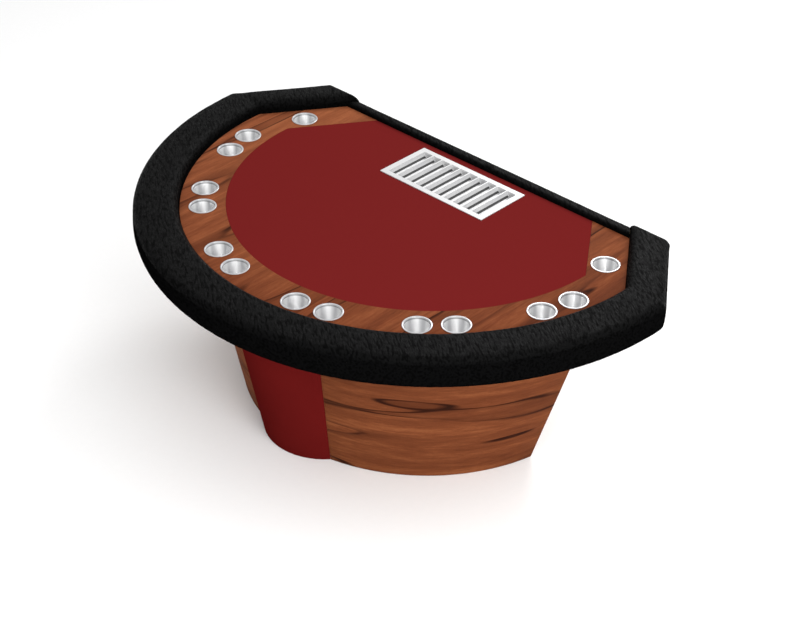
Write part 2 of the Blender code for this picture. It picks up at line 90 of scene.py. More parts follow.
# ------------------------------------------------------------ material building blocks
class Look:
    """A procedural material: short calls that add one node each."""

    def __init__(self, name):
        self.material = bpy.data.materials.new(name)
        self.material.use_nodes = True
        self.tree = self.material.node_tree
        self.shader = self.tree.nodes["Principled BSDF"]

    def node(self, kind, settings=None, **inputs):
        made = self.tree.nodes.new("ShaderNode" + kind)
        for key, value in (settings or {}).items():
            setattr(made, key, value)
        for key, value in inputs.items():
            self.feed(made.inputs[key.replace("_", " ")], value)
        return made

    def feed(self, socket, value):
        if isinstance(value, bpy.types.NodeSocket):
            self.tree.links.new(value, socket)
        else:
            socket.default_value = value

    def place(self, scale=(1, 1, 1), turn=(0, 0, 0)):
        """Object coordinates, turned and then scaled."""
        where = self.node("TexCoord").outputs["Object"]
        turned = self.node("Mapping", {"vector_type": "POINT"}, Vector=where, Rotation=turn)
        return self.node("Mapping", Vector=turned.outputs[0], Scale=scale).outputs[0]

    def noise(self, vector, scale, detail=4.0, roughness=0.55, distortion=0.0):
        return self.node("TexNoise", Vector=vector, Scale=scale, Detail=detail,
                         Roughness=roughness, Distortion=distortion).outputs["Fac"]

    def cells(self, vector, scale):
        """Distance to the nearest edge between cells."""
        made = self.node("TexVoronoi", {"feature": "DISTANCE_TO_EDGE"}, Vector=vector,
                         Scale=scale)
        return made.outputs["Distance"]

    def warp(self, vector, scale, amount):
        """Push a vector about by a noise, so that patterns bend."""
        drift = self.node("TexNoise", Vector=vector, Scale=scale, Detail=2.0)
        centred = self.node("VectorMath", {"operation": "SUBTRACT"})
        self.feed(centred.inputs[0], drift.outputs["Color"])
        centred.inputs[1].default_value = (0.5, 0.5, 0.5)
        scaled = self.node("VectorMath", {"operation": "SCALE"}, Scale=amount)
        self.feed(scaled.inputs[0], centred.outputs[0])
        added = self.node("VectorMath", {"operation": "ADD"})
        self.feed(added.inputs[0], vector)
        self.feed(added.inputs[1], scaled.outputs[0])
        return added.outputs[0]

    def span(self, value, low, high, to_low=0.0, to_high=1.0):
        return self.node("MapRange", Value=value, From_Min=low, From_Max=high,
                         To_Min=to_low, To_Max=to_high).outputs[0]

    def math(self, operation, a, b=0.0):
        made = self.node("Math", {"operation": operation})
        self.feed(made.inputs[0], a)
        self.feed(made.inputs[1], b)
        return made.outputs[0]

    def ramp(self, value, *stops):
        """Colour by value; stops are (position, (r, g, b))."""
        made = self.node("ValToRGB", Fac=value)
        points = made.color_ramp.elements
        while len(points) < len(stops):
            points.new(0.5)
        for point, (position, colour) in zip(points, stops):
            point.position = position
            point.color = (*colour, 1.0)
        return made.outputs["Color"]

    def mix(self, factor, a, b, blend="MIX"):
        made = self.node("Mix", {"data_type": "RGBA", "blend_type": blend})
        self.feed(made.inputs[0], factor)
        for socket, value in ((made.inputs[6], a), (made.inputs[7], b)):
            self.feed(socket, (*value, 1.0) if isinstance(value, tuple) else value)
        return made.outputs[2]

    def bump(self, height, distance, strength=1.0, normal=None):
        made = self.node("Bump", Height=height, Distance=distance, Strength=strength)
        if normal is not None:
            self.feed(made.inputs["Normal"], normal)
        return made.outputs[0]

    def surface(self, **inputs):
        for key, value in inputs.items():
            self.feed(self.shader.inputs[key.replace("_", " ")], value)
        return self.material


# ------------------------------------------------------------ materials
LEATHER_TURN = (0, 0, radians(35))    # the hide's creases run across the table


def leather_look():
    look = Look("black_leather")
    hide = look.warp(look.place((0.22, 1.0, 1.0), LEATHER_TURN), 30.0, 0.010)
    cracks = look.span(look.cells(hide, 140.0), 0.02, 0.24)
    folds = look.span(look.noise(hide, 130.0, 0.0, 0.5), 0.36, 0.52)
    pebbles = look.span(look.cells(look.place(), 520.0), 0.0, 0.20)
    patches = look.noise(look.place(), 3.0, 2.0)
    height = look.math("ADD", look.math("MULTIPLY", cracks, 0.30),
                       look.math("MULTIPLY", folds, 0.70))
    grain = look.bump(height, 0.0007)
    fine = look.bump(pebbles, 0.0002, normal=grain)
    # painted shade: the tone is darker where the creases and folds are low
    tone = look.mix(height, (0.0011, 0.0011, 0.0011), (0.0026, 0.0026, 0.0027))
    rough = look.math("ADD", look.span(cracks, 0.0, 1.0, 0.56, 0.44),
                      look.span(patches, 0.3, 0.7, -0.04, 0.05))
    normal = look.node("NewGeometry").outputs["Normal"]
    upper = look.span(look.node("SeparateXYZ", Vector=normal).outputs[2], 0.25, 0.85)
    shine = look.math("MULTIPLY", upper, look.span(height, 0.0, 1.0, 0.015, 0.045))
    return look.surface(Base_Color=tone, Roughness=rough, Normal=fine,
                        Specular_IOR_Level=shine)


def wood_look(name, scale, near, far):
    """Walnut veneer: the grain runs along the axes with the smallest scale.

    A tint drifts from far, at low x and high y, to near, at high x and low y.
    """
    look = Look(name)
    grain = look.warp(look.place(scale), 1.3, 0.30)
    broad = look.noise(grain, 1.1, 2.0, 0.5, 0.3)
    bands = look.noise(grain, 4.0, 5.0, 0.58, 0.5)
    fine_bands = look.noise(grain, 20.0, 4.0, 0.65)
    rings = look.math("FRACT", look.math("MULTIPLY", look.noise(grain, 1.25, 2.0, 0.4), 4.2))
    ring = look.math("ABSOLUTE", look.math("SUBTRACT", rings, 0.5))
    vein = look.math("MULTIPLY", look.span(ring, 0.010, 0.050, 1.0, 0.0),
                     look.span(look.noise(grain, 2.6, 2.0), 0.44, 0.58))
    shade = look.math("MULTIPLY", look.span(rings, 0.48, 0.85, 1.0, 0.0),
                      look.span(rings, 0.44, 0.50, 0.0, 0.60))
    fibres = look.noise(look.place(tuple(9.0 * s for s in scale)), 10.0, 4.0, 0.7)
    pores = look.span(look.noise(look.place(tuple(16.0 * s for s in scale)), 24.0, 2.0),
                      0.58, 0.70)
    tones = [(0.150, 0.044, 0.0190), (0.245, 0.076, 0.0325), (0.380, 0.132, 0.0560)]
    mixed = look.math("ADD", look.math("MULTIPLY", bands, 0.62),
                      look.math("MULTIPLY", fine_bands, 0.38))
    colour = look.ramp(mixed, (0.34, tones[0]), (0.50, tones[1]), (0.66, tones[2]))
    colour = look.mix(look.span(broad, 0.36, 0.66, 0.0, 0.45), colour, tones[0])
    colour = look.mix(look.span(fibres, 0.30, 0.75, 0.0, 0.45), colour, (0.085, 0.026, 0.012))
    colour = look.mix(shade, colour, (0.075, 0.022, 0.011))
    colour = look.mix(look.math("MULTIPLY", vein, 0.90), colour, (0.022, 0.0075, 0.005))
    colour = look.mix(look.math("MULTIPLY", pores, 0.40), colour, (0.045, 0.015, 0.008))
    parts = look.node("SeparateXYZ", Vector=look.place())
    across = look.math("SUBTRACT", parts.outputs[0], parts.outputs[1])
    tint = look.mix(look.span(across, -1.3, 0.6), far, near)
    colour = look.mix(1.0, colour, tint, "MULTIPLY")
    normal = look.bump(look.math("SUBTRACT", fibres, pores), 0.0003, 0.5)
    rough = look.span(bands, 0.3, 0.7, 0.50, 0.62)
    return look.surface(Base_Color=colour, Roughness=rough, Normal=normal,
                        Specular_IOR_Level=0.01)


def felt_look():
    look = Look("red_felt")
    where = look.place()
    fibres = look.noise(where, 900.0, 3.0, 0.7)
    nap = look.noise(look.place((1.0, 0.35, 1.0)), 60.0, 3.0)
    clouds = look.noise(where, 2.5, 2.0)
    colour = look.ramp(fibres, (0.30, (0.130, 0.0112, 0.0110)), (0.70, (0.159, 0.0138, 0.0134)))
    colour = look.mix(look.span(clouds, 0.3, 0.7, 0.0, 0.25), colour,
                      (0.137, 0.0119, 0.0116))
    height = look.math("ADD", fibres, look.math("MULTIPLY", nap, 0.4))
    return look.surface(Base_Color=colour, Roughness=look.span(nap, 0.3, 0.7, 0.90, 0.98),
                        Normal=look.bump(height, 0.0003, 0.4), Specular_IOR_Level=0.0)


def red_panel_look():
    look = Look("red_laminate")
    where = look.place()
    weave = look.noise(where, 700.0, 2.0)
    clouds = look.noise(where, 4.0, 3.0)
    colour = look.mix(look.span(clouds, 0.3, 0.7), (0.088, 0.0058, 0.0055),
                      (0.100, 0.0066, 0.0062))
    return look.surface(Base_Color=colour, Roughness=look.span(clouds, 0.3, 0.7, 0.55, 0.65),
                        Normal=look.bump(weave, 0.0002, 0.35), Specular_IOR_Level=0.0)


def steel_look():
    """Drawn steel with turning lines round it, painted reflection bands round the wall, and
    painted shade darkening it just under the lip.
    """
    look = Look("cup_steel")
    parts = look.node("SeparateXYZ", Vector=look.place())
    angle = look.math("ARCTAN2", parts.outputs[1], parts.outputs[0])
    around = look.node("CombineXYZ", X=look.math("MULTIPLY", angle, 0.15),
                       Y=look.math("MULTIPLY", parts.outputs[2], 60.0), Z=0.0)
    turning = look.noise(around.outputs[0], 26.0, 4.0, 0.7)
    # painted reflection: light and grey bands round the inside wall, brightest at 134 degrees
    # round the cup
    reflection_band_phase = look.math("MULTIPLY", look.math("SUBTRACT", angle, radians(134.0)), 6.0)
    bands = look.span(look.math("COSINE", reflection_band_phase), -0.9, 0.7)
    inside = look.span(parts.outputs[2], -0.0010, 0.0005, 1.0, 0.0)
    wall = look.mix(bands, (0.66, 0.66, 0.67), (1.0, 1.0, 1.0))
    colour = look.mix(inside, (0.52, 0.52, 0.53), wall)
    # painted shade: darker just under the lip
    painted_lip_shade = look.math("MULTIPLY", look.span(parts.outputs[2], -0.0070, -0.0045),
                          look.span(parts.outputs[2], -0.0020, 0.0002, 1.0, 0.0))
    colour = look.mix(look.math("MULTIPLY", painted_lip_shade, 0.75), colour, (0.20, 0.20, 0.205))
    radial = look.node("Tangent", {"direction_type": "RADIAL", "axis": "Z"})
    return look.surface(Base_Color=colour, Metallic=look.span(inside, 0.0, 1.0, 0.45, 0.75),
                        Roughness=look.span(turning, 0.25, 0.75, 0.26, 0.34),
                        Anisotropic=0.85, Anisotropic_Rotation=0.25,
                        Tangent=radial.outputs[0])


SHADE_STRIP_OFFSET = 0.0116     # painted shade: the dark strip lies left of each channel's middle
SHADE_STRIP_HALF = 0.0034


def tray_look():
    """Bright aluminium, with a painted shade strip along one wall of each channel, where that
    wall lies in shadow.
    """
    look = Look("tray_aluminium")
    parts = look.node("SeparateXYZ", Vector=look.place())
    shifted = look.math("DIVIDE", look.math("ADD", parts.outputs[0], SHADE_STRIP_OFFSET),
                        CHANNEL_PITCH)
    phase = look.math("SUBTRACT", look.math("FRACT", shifted), 0.5)
    across = look.math("MULTIPLY", look.math("ABSOLUTE", phase), CHANNEL_PITCH)
    # painted shade: a dark, less metallic strip on the channel wall that lies in shadow
    strip = look.span(across, SHADE_STRIP_HALF, SHADE_STRIP_HALF + 0.0006, 1.0, 0.0)
    low = look.span(parts.outputs[2], FELT_Z - 0.0100, FELT_Z - 0.0090, 1.0, 0.0)
    middle = (TRAY_LOW[1] + TRAY_HIGH[1]) / 2
    along = look.math("ABSOLUTE", look.math("SUBTRACT", parts.outputs[1], middle))
    reach = (TRAY_HIGH[1] - TRAY_LOW[1]) / 2 - TRAY_RIM - 0.006
    strip = look.math("MULTIPLY", strip, look.span(along, reach, reach + 0.0006, 1.0, 0.0))
    strip = look.math("MULTIPLY", strip, low)
    brushed = look.noise(look.place((1.0, 0.05, 1.0)), 420.0, 3.0, 0.6)
    clouds = look.noise(look.place(), 14.0, 3.0)
    colour = look.mix(look.span(clouds, 0.3, 0.7), (0.52, 0.52, 0.53), (0.56, 0.56, 0.56))
    colour = look.mix(strip, colour, look.mix(brushed, (0.030, 0.030, 0.031),
                                              (0.060, 0.060, 0.061)))
    shine = look.span(brushed, 0.25, 0.75, 0.34, 0.48)
    return look.surface(Base_Color=colour, Metallic=look.span(strip, 0.0, 1.0, 0.22, 0.0),
                        Roughness=look.math("ADD", shine, look.math("MULTIPLY", strip, 0.3)),
                        Normal=look.bump(brushed, 0.0001, 0.3))


def ply_look(name, face, veneer, glue):
    """Plywood: bare veneer on the faces, and its layers where an edge is cut."""
    look = Look(name)
    parts = look.node("SeparateXYZ", Vector=look.place())
    layer = look.math("FRACT", look.math("MULTIPLY", parts.outputs[2], 340.0))
    line = look.span(layer, 0.40, 0.60)
    figure = look.noise(look.place((1.0, 0.07, 1.0)), 34.0, 5.0, 0.6, 0.5)
    fibres = look.noise(look.place((1.0, 0.05, 1.0)), 400.0, 3.0)
    normal = look.node("NewGeometry").outputs["Normal"]
    up = look.math("ABSOLUTE", look.node("SeparateXYZ", Vector=normal).outputs[2])
    colour = look.mix(look.span(figure, 0.3, 0.7), face, veneer)
    colour = look.mix(look.span(fibres, 0.4, 0.8, 0.0, 0.3), colour, glue)
    edge = look.mix(line, veneer, glue)
    colour = look.mix(look.span(up, 0.5, 0.9), edge, colour)
    return look.surface(Base_Color=colour, Roughness=look.span(fibres, 0.3, 0.7, 0.58, 0.72),
                        Normal=look.bump(fibres, 0.0003, 0.5))


def speckled_look(name, dark, light, roughness, metallic=0.0):
    """A plain finish with a fine grain: moulded rubber, foam or zinc plate."""
    look = Look(name)
    grain = look.noise(look.place(), 300.0, 4.0, 0.65)
    clouds = look.noise(look.place(), 25.0, 2.0)
    colour = look.mix(look.span(grain, 0.3, 0.7), dark, light)
    rough = look.span(clouds, 0.3, 0.7, roughness - 0.06, roughness + 0.08)
    return look.surface(Base_Color=colour, Metallic=metallic, Roughness=rough,
                        Normal=look.bump(grain, 0.0002, 0.4))


LEATHER = leather_look()
RACE_WOOD = wood_look("racetrack_walnut", (6.0, 0.50, 6.0),
                      (0.84, 0.74, 0.68), (1.30, 1.28, 1.24))
WALL_WOOD = wood_look("pedestal_walnut", (0.60, 0.60, 6.0),
                      (0.74, 0.70, 0.62), (0.74, 0.70, 0.62))
FELT = felt_look()
RED_PANEL = red_panel_look()
STEEL = steel_look()
TRAY = tray_look()
PLY = ply_look("birch_plywood", (0.42, 0.28, 0.15), (0.52, 0.37, 0.21), (0.24, 0.14, 0.07))
BLACK_PLY = ply_look("black_plywood", (0.010, 0.010, 0.010), (0.016, 0.015, 0.014),
                     (0.005, 0.005, 0.005))
ZINC = speckled_look("zinc_plate", (0.48, 0.48, 0.46), (0.68, 0.68, 0.66), 0.32, 1.0)
RUBBER = speckled_look("glide_rubber", (0.012, 0.012, 0.012), (0.028, 0.028, 0.028), 0.75)
FOAM = speckled_look("underlay_foam", (0.40, 0.36, 0.26), (0.52, 0.48, 0.36), 0.90)


# ------------------------------------------------------------ mesh building blocks
def new_piece(name, made, look, sharp=40, location=(0, 0, 0)):
    """A smooth-shaded object from a bmesh, with its faces turned outwards."""
    bmesh.ops.recalc_face_normals(made, faces=made.faces)
    mesh = bpy.data.meshes.new(name)
    made.to_mesh(mesh)
    made.free()
    mesh.materials.append(look)
    mesh.shade_smooth()
    mesh.set_sharp_from_angle(angle=radians(sharp))
    piece = bpy.data.objects.new(name, mesh)
    piece.location = location
    bpy.context.collection.objects.link(piece)
    return piece


def bridge(made, ring_a, ring_b, closed=True):
    count = len(ring_a)
    for i in range(count if closed else count - 1):
        j = (i + 1) % count
        made.faces.new((ring_a[i], ring_a[j], ring_b[j], ring_b[i]))


def cap(made, loops):
    flat = [vertex for loop in loops for vertex in loop]
    for a, b, c in tessellate_polygon([[v.co for v in loop] for loop in loops]):
        made.faces.new((flat[a], flat[b], flat[c]))


def ease_edges(piece, width, angle=35):
    """Round a piece's hard edges."""
    bevel = piece.modifiers.new("eased_edges", "BEVEL")
    bevel.width = width
    bevel.segments = 2
    bevel.limit_method = "ANGLE"
    bevel.angle_limit = radians(angle)
    bevel.harden_normals = True


def board(name, outline, z0, z1, look, holes=()):
    """A flat board with holes straight through."""
    made = bmesh.new()
    loops = [outline, *holes]
    low = [[made.verts.new((x, y, z0)) for x, y in loop] for loop in loops]
    high = [[made.verts.new((x, y, z1)) for x, y in loop] for loop in loops]
    for ring_low, ring_high in zip(low, high):
        bridge(made, ring_low, ring_high)
    cap(made, low)
    cap(made, high)
    return new_piece(name, made, look)


WALL_LEVELS = 6           # rows of faces up a leaning wall


def leaning(name, section, z0, z1, look):
    """A leaning wall: section(z) gives its outline at a height."""
    made = bmesh.new()
    rings = []
    for i in range(WALL_LEVELS + 1):
        z = z0 + (z1 - z0) * i / WALL_LEVELS
        rings.append([made.verts.new((x, y, z)) for x, y in section(z)])
    for ring_a, ring_b in zip(rings, rings[1:]):
        bridge(made, ring_a, ring_b)
    cap(made, [rings[0]])
    cap(made, [rings[-1]])
    return new_piece(name, made, look)


def turned(name, profile, centre, look, steps):
    """A turned piece from (radius, height) points whose ends lie on the axis."""
    made = bmesh.new()
    rings = []
    for radius, height in profile[1:-1]:
        ring = []
        for i in range(steps):
            angle = 2 * pi * i / steps
            ring.append(made.verts.new((radius * cos(angle), radius * sin(angle), height)))
        rings.append(ring)
    for ring_a, ring_b in zip(rings, rings[1:]):
        bridge(made, ring_a, ring_b)
    for (_, height), ring in ((profile[0], rings[0]), (profile[-1], rings[-1])):
        pole = made.verts.new((0.0, 0.0, height))
        for i in range(steps):
            made.faces.new((pole, ring[i], ring[(i + 1) % steps]))
    return new_piece(name, made, look, location=centre)


def arc(centre, radius, start, end, steps):
    points = []
    for i in range(steps + 1):
        angle = radians(start + (end - start) * i / steps)
        points.append((centre[0] + radius * cos(angle), centre[1] + radius * sin(angle)))
    return points


def circle(centre, radius, steps):
    return arc(centre, radius, 0, 360 - 360 / steps, steps - 1)


def respaced(points, spacing):
    """The same line with points about one spacing apart."""
    lengths = [0.0]
    for a, b in zip(points, points[1:]):
        lengths.append(lengths[-1] + hypot(b[0] - a[0], b[1] - a[1]))
    count = max(1, round(lengths[-1] / spacing))
    result = []
    k = 0
    for i in range(count + 1):
        goal = lengths[-1] * i / count
        while k < len(lengths) - 2 and lengths[k + 1] < goal:
            k += 1
        t = (goal - lengths[k]) / max(lengths[k + 1] - lengths[k], 1e-9)
        a, b = points[k], points[k + 1]
        result.append((a[0] + (b[0] - a[0]) * t, a[1] + (b[1] - a[1]) * t))
    return result


# ------------------------------------------------------------ plan of the top
BOARD_ARC_STEPS = 180     # steps round the half-round of the racetrack and the cloth
RAIL_ARC_STEPS = 330      # and of the rail


def stations(side_depths, arc_steps):
    """Stations from the right back end round to the left: (kind, value, sign)."""
    right = [("side", depth, 1) for depth in side_depths[::-1]]
    half_round = [("arc", i / arc_steps, 1) for i in range(arc_steps + 1)]
    left = [("side", depth, -1) for depth in side_depths]
    return right + half_round + left


def side_x(radius, depth):
    """Half the width of the table's outline at a radius, behind its shoulders."""
    return (radius ** 2 - SHOULDER ** 2) ** 0.5 - SIDE_SLOPE * (depth + SHOULDER)


def plan_point(radius, station):
    kind, value, sign = station
    if kind == "arc":
        shoulder = asin(SHOULDER / radius)
        angle = -shoulder - (pi - 2 * shoulder) * value
        return (radius * cos(angle), ARC_Y + radius * sin(angle))
    return (sign * side_x(radius, value), ARC_Y + value)


def side_path(radius, depth):
    return [plan_point(radius, station) for station in stations([depth], BOARD_ARC_STEPS)]


def half_ring(outer_r, inner_r, depth):
    return side_path(outer_r, depth) + side_path(inner_r, depth)[::-1]


def tray_opening():
    """The cloth's cut-out, which the tray's rim covers."""
    x = TRAY_HIGH[0] - TRAY_COVER
    y0, y1 = TRAY_LOW[1] + TRAY_COVER, TRAY_HIGH[1] - TRAY_COVER
    return [(-x, y0), (x, y0), (x, y1), (-x, y1)]


# ------------------------------------------------------------ padded leather
CLOTH_PRESSURE = 4.0
CLOTH_FRAMES = 20


def inflate(piece, pinned, cap_m):
    """Let a padded piece swell under pressure as cloth, no point moving past the cap."""
    group = piece.vertex_groups.new(name="held")
    group.add(pinned, 1.0, "REPLACE")
    rest = [vertex.co.copy() for vertex in piece.data.vertices]
    cloth = piece.modifiers.new("stuffing", "CLOTH")
    cloth.settings.use_pressure = True
    cloth.settings.uniform_pressure_force = CLOTH_PRESSURE
    cloth.settings.vertex_group_mass = "held"
    cloth.settings.quality = 5
    cloth.settings.tension_stiffness = 40
    cloth.settings.compression_stiffness = 40
    cloth.settings.bending_stiffness = 6
    cloth.settings.effector_weights.gravity = 0.0
    cloth.collision_settings.use_collision = False
    cloth.point_cache.frame_start = 1
    cloth.point_cache.frame_end = CLOTH_FRAMES
    for number in range(1, CLOTH_FRAMES + 1):
        bpy.context.scene.frame_set(number)
    evaluated = piece.evaluated_get(bpy.context.evaluated_depsgraph_get())
    settled = [vertex.co.copy() for vertex in evaluated.data.vertices]
    piece.modifiers.remove(cloth)
    bpy.context.scene.frame_set(1)
    for vertex, start, end in zip(piece.data.vertices, rest, settled):
        move = end - start
        if move.length > cap_m:
            move *= cap_m / move.length
        vertex.co = start + move
    piece.data.update()


def crease_texture():
    texture = bpy.data.textures.new("hide_creases", "CLOUDS")
    texture.noise_scale = 0.016
    texture.noise_depth = 2
    return texture


CREASES = crease_texture()


def wrinkle(piece, strength):
    """One subdivision, and the hide's shallow folds as real relief."""
    smooth = piece.modifiers.new("finer", "SUBSURF")
    smooth.levels = 1
    smooth.render_levels = 1
    folds = piece.modifiers.new("folds", "DISPLACE")
    folds.texture = CREASES
    folds.texture_coords = "LOCAL"
    folds.strength = strength
    folds.mid_level = 0.5


def inset_section(points, amount):
    """Move a section's points inwards along their own normals."""
    moved = []
    for i, (r, z) in enumerate(points):
        before = points[max(i - 1, 0)]
        after = points[min(i + 1, len(points) - 1)]
        run = (after[0] - before[0], after[1] - before[1])
        length = hypot(*run) or 1.0
        moved.append((r - run[1] / length * amount, z + run[0] / length * amount))
    return moved


NOSE_R = 0.064            # rounding of the rail's lower outer edge
SHOULDER_R = 0.028        # of its upper outer edge
LIP_R = 0.034             # and of its inner edge
CROWN_RUN = 0.1055        # width of the nearly flat top between them
PAD_FOOT = -0.0130        # foot of the padding, from the cloth's face


def rail_skin():
    """The rail's visible outline, from its lower inner edge round to the racetrack."""
    low = RAIL_LOW[2] - FELT_Z
    nose = arc((RAIL_R - NOSE_R, low + NOSE_R), NOSE_R, -90, 0, 24)
    shoulder = arc((RAIL_R - SHOULDER_R, 0.013), SHOULDER_R, 0, 90, 16)
    crown = []
    for i in range(1, 20):
        t = i / 20
        height = 0.041 + 0.0028 * t + 0.0022 * sin(pi * t)
        crown.append((RAIL_R - SHOULDER_R - CROWN_RUN * t, height))
    lip = arc((RAIL_INNER_R + LIP_R, 0.010), LIP_R, 100, 180, 16)
    edge = [(APRON_R + GAP, low)]
    base = [(RAIL_INNER_R, PAD_FOOT)]
    return respaced(edge + nose + shoulder + crown + lip + base, 0.006)


def rail_cavity():
    """The inside of the padding, round the core, the deck's edge and the apron."""
    return [
        (RAIL_INNER_R + 0.0165, PAD_FOOT),
        (RAIL_INNER_R + 0.0165, 0.0165),
        (CORE_R + 0.0008, 0.0165),
        (CORE_R + 0.0008, -0.0368),
        (APRON_R + GAP, -0.0368),
    ]


END_ROUND = 0.005         # rounding of the rail's upholstered ends
END_RUN = 0.023           # length over which the rail's top rounds down to its ends
END_DROP = 0.028          # and how far it comes down


def end_limit(depth):
    """The greatest height of the rail at a depth, near its end."""
    into = max(0.0, depth - (BACK_DEPTH - END_RUN)) / END_RUN
    return RAIL_TOP - END_DROP * (1 - (1 - min(into, 1.0) ** 2) ** 0.5)


def make_arm_rail():
    """Upholstered rail: a swept skin, closed at both ends over the core's ends."""
    skin = rail_skin()
    cavity = rail_cavity()
    inside_depth = CORE_DEPTH + 0.0007
    rounding = [BACK_DEPTH - END_RUN * (1 - sin(radians(6 * i))) for i in range(16)]
    step = 0.0075
    count = int((rounding[0] + SHOULDER) / step)
    depths = [-SHOULDER + step * i for i in range(1, count)] + rounding
    path = stations(depths, RAIL_ARC_STEPS)
    made = bmesh.new()
    skins = []
    cavities = []
    for station in path:
        depth = station[1] if station[0] == "side" else 0.0
        into_round = max(0.0, depth - (BACK_DEPTH - END_ROUND))
        inset = END_ROUND - (END_ROUND ** 2 - min(into_round, END_ROUND) ** 2) ** 0.5
        limit = end_limit(depth)
        ring = []
        for r, z in inset_section(skin, -0.8 * inset):
            x, y = plan_point(r, station)
            ring.append(made.verts.new((x, y, FELT_Z + min(z, limit))))
        skins.append(ring)
        if depth <= inside_depth:
            hollow = []
            for r, z in cavity:
                x, y = plan_point(r, station)
                hollow.append(made.verts.new((x, y, FELT_Z + z)))
            cavities.append((len(skins) - 1, hollow))
    for ring_a, ring_b in zip(skins, skins[1:]):
        bridge(made, ring_a, ring_b, closed=False)
    loops = [(k, [skins[k][-1], *hollow, skins[k][0]]) for k, hollow in cavities]
    for (_, loop_a), (_, loop_b) in zip(loops, loops[1:]):
        bridge(made, loop_a, loop_b, closed=False)
    for end in (loops[0][1], loops[-1][1]):
        cap(made, [end])
    mouth = [(skins[k][0], skins[k][-1]) for k in range(len(skins))]
    first, last = loops[0][0], loops[-1][0]
    for k in [*range(first), *range(last, len(skins) - 1)]:
        made.faces.new((mouth[k][0], mouth[k + 1][0], mouth[k + 1][1], mouth[k][1]))
    cap(made, [skins[0]])
    cap(made, [skins[-1]])
    held = [ring[i] for ring in skins for i in (0, 1, -2, -1)]
    held += [vertex for _, loop in loops for vertex in loop]
    held += [vertex for ring in (*skins[:6], *skins[-6:]) for vertex in ring]
    made.verts.index_update()
    pinned = sorted({vertex.index for vertex in held})
    piece = new_piece("arm_rail_leather", made, LEATHER, sharp=60)
    inflate(piece, pinned, 0.002)
    wrinkle(piece, 0.0016)
    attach(piece, "root")
    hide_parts("arm_rail_pad")


def make_dealer_strip():
    """The dealer's low padded strip, wrapped over its batten and the deck's edge."""
    top = STRIP_HIGH[2] - FELT_Z
    low = STRIP_LOW[2] - FELT_Z
    front = [(STRIP_DEPTH, PAD_FOOT), *arc((STRIP_DEPTH + 0.012, top - 0.012), 0.012, 180, 90, 8)]
    back = [*arc((BACK_DEPTH - 0.006, top - 0.006), 0.006, 90, 0, 6), (BACK_DEPTH, low)]
    skin = respaced(front + back, 0.004)
    hollow = [
        (CORE_DEPTH + 0.0008, low),
        (CORE_DEPTH + 0.0008, 0.0115),
        (STRIP_DEPTH + 0.0066, 0.0115),
        (STRIP_DEPTH + 0.0066, PAD_FOOT),
    ]
    section = skin + hollow
    steps = 180
    made = bmesh.new()
    rings = []
    for i in range(steps + 1):
        ring = []
        for depth, z in section:
            half = side_x(RAIL_INNER_R, depth) - 0.0010
            x = half * (2 * i / steps - 1)
            ring.append(made.verts.new((x, ARC_Y + depth, FELT_Z + z)))
        rings.append(ring)
    for ring_a, ring_b in zip(rings, rings[1:]):
        bridge(made, ring_a, ring_b)
    cap(made, [rings[0]])
    cap(made, [rings[-1]])
    held = [ring[i] for ring in rings for i in (0, len(skin) - 1)]
    held += [vertex for ring in rings for vertex in ring[len(skin):]]
    held += [*rings[0], *rings[-1]]
    made.verts.index_update()
    pinned = sorted({vertex.index for vertex in held})
    piece = new_piece("dealer_strip_leather", made, LEATHER, sharp=60)
    inflate(piece, pinned, 0.0015)
    wrinkle(piece, 0.0009)
    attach(piece, "root")
    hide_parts("dealer_strip_pad")


# ------------------------------------------------------------ racetrack and felt
CUP_HOLE_R = 0.0475       # the racetrack's round holes


def cup_centre(name):
    low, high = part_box(name)
    return ((low[0] + high[0]) / 2, (low[1] + high[1]) / 2)


def make_racetrack():
    holes = [circle(cup_centre(name), CUP_HOLE_R, 48) for name in CUPS]
    depth = WOOD_HIGH[1] - ARC_Y
    piece = board("racetrack_board", half_ring(WOOD_R, FELT_R + 2 * GAP, depth),
                  WOOD_LOW[2], WOOD_HIGH[2], RACE_WOOD, holes)
    ease_edges(piece, 0.0010)
    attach(piece, "root")
    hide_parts("racetrack")


def make_felt():
    depth = FELT_HIGH[1] - ARC_Y
    outline = side_path(FELT_R, depth)
    opening = tray_opening()
    piece = board("table_felt", outline, FELT_LOW[2], FELT_HIGH[2], FELT, [opening])
    ease_edges(piece, 0.0006)
    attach(piece, "root")
    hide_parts("playing_felt")


# ------------------------------------------------------------ cups and chip tray
def cup_profile(low, high):
    """Pressed cup: rolled flange, tapered well and a stepped floor."""
    flange_r = (high[0] - low[0]) / 2
    bottom = low[2] - FELT_Z
    rim = high[2] - FELT_Z
    seat = rim - 0.0022
    mouth_r = flange_r - 0.0057
    floor_r = mouth_r - 0.0050
    wall = 0.0013
    roll = arc((flange_r - 0.0011, seat + 0.0011), 0.0011, -90, 90, 8)
    lip = arc((mouth_r + 0.0016, rim - 0.0016), 0.0016, 90, 180, 6)
    heel = arc((floor_r - 0.0050, bottom + wall + 0.0050), 0.0050, 0, -90, 8)
    return [
        (0.0, bottom),
        (floor_r - 0.004, bottom),
        (floor_r + wall, bottom + 0.004),
        (mouth_r + wall, seat - 0.001),
        (mouth_r + wall + 0.001, seat),
        *roll,
        *lip,
        *heel,
        (floor_r - 0.0100, bottom + wall),
        (floor_r - 0.0108, bottom + wall + 0.0008),
        (floor_r - 0.0150, bottom + wall + 0.0008),
        (floor_r - 0.0158, bottom + wall),
        (0.0, bottom + wall),
    ]


def make_cups():
    profile = cup_profile(*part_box(CUPS[0]))
    for name in CUPS:
        x, y = cup_centre(name)
        piece = turned(name.replace("cup", "steel_cup"), profile, (x, y, FELT_Z), STEEL, 72)
        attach(piece, name)
        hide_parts(name)


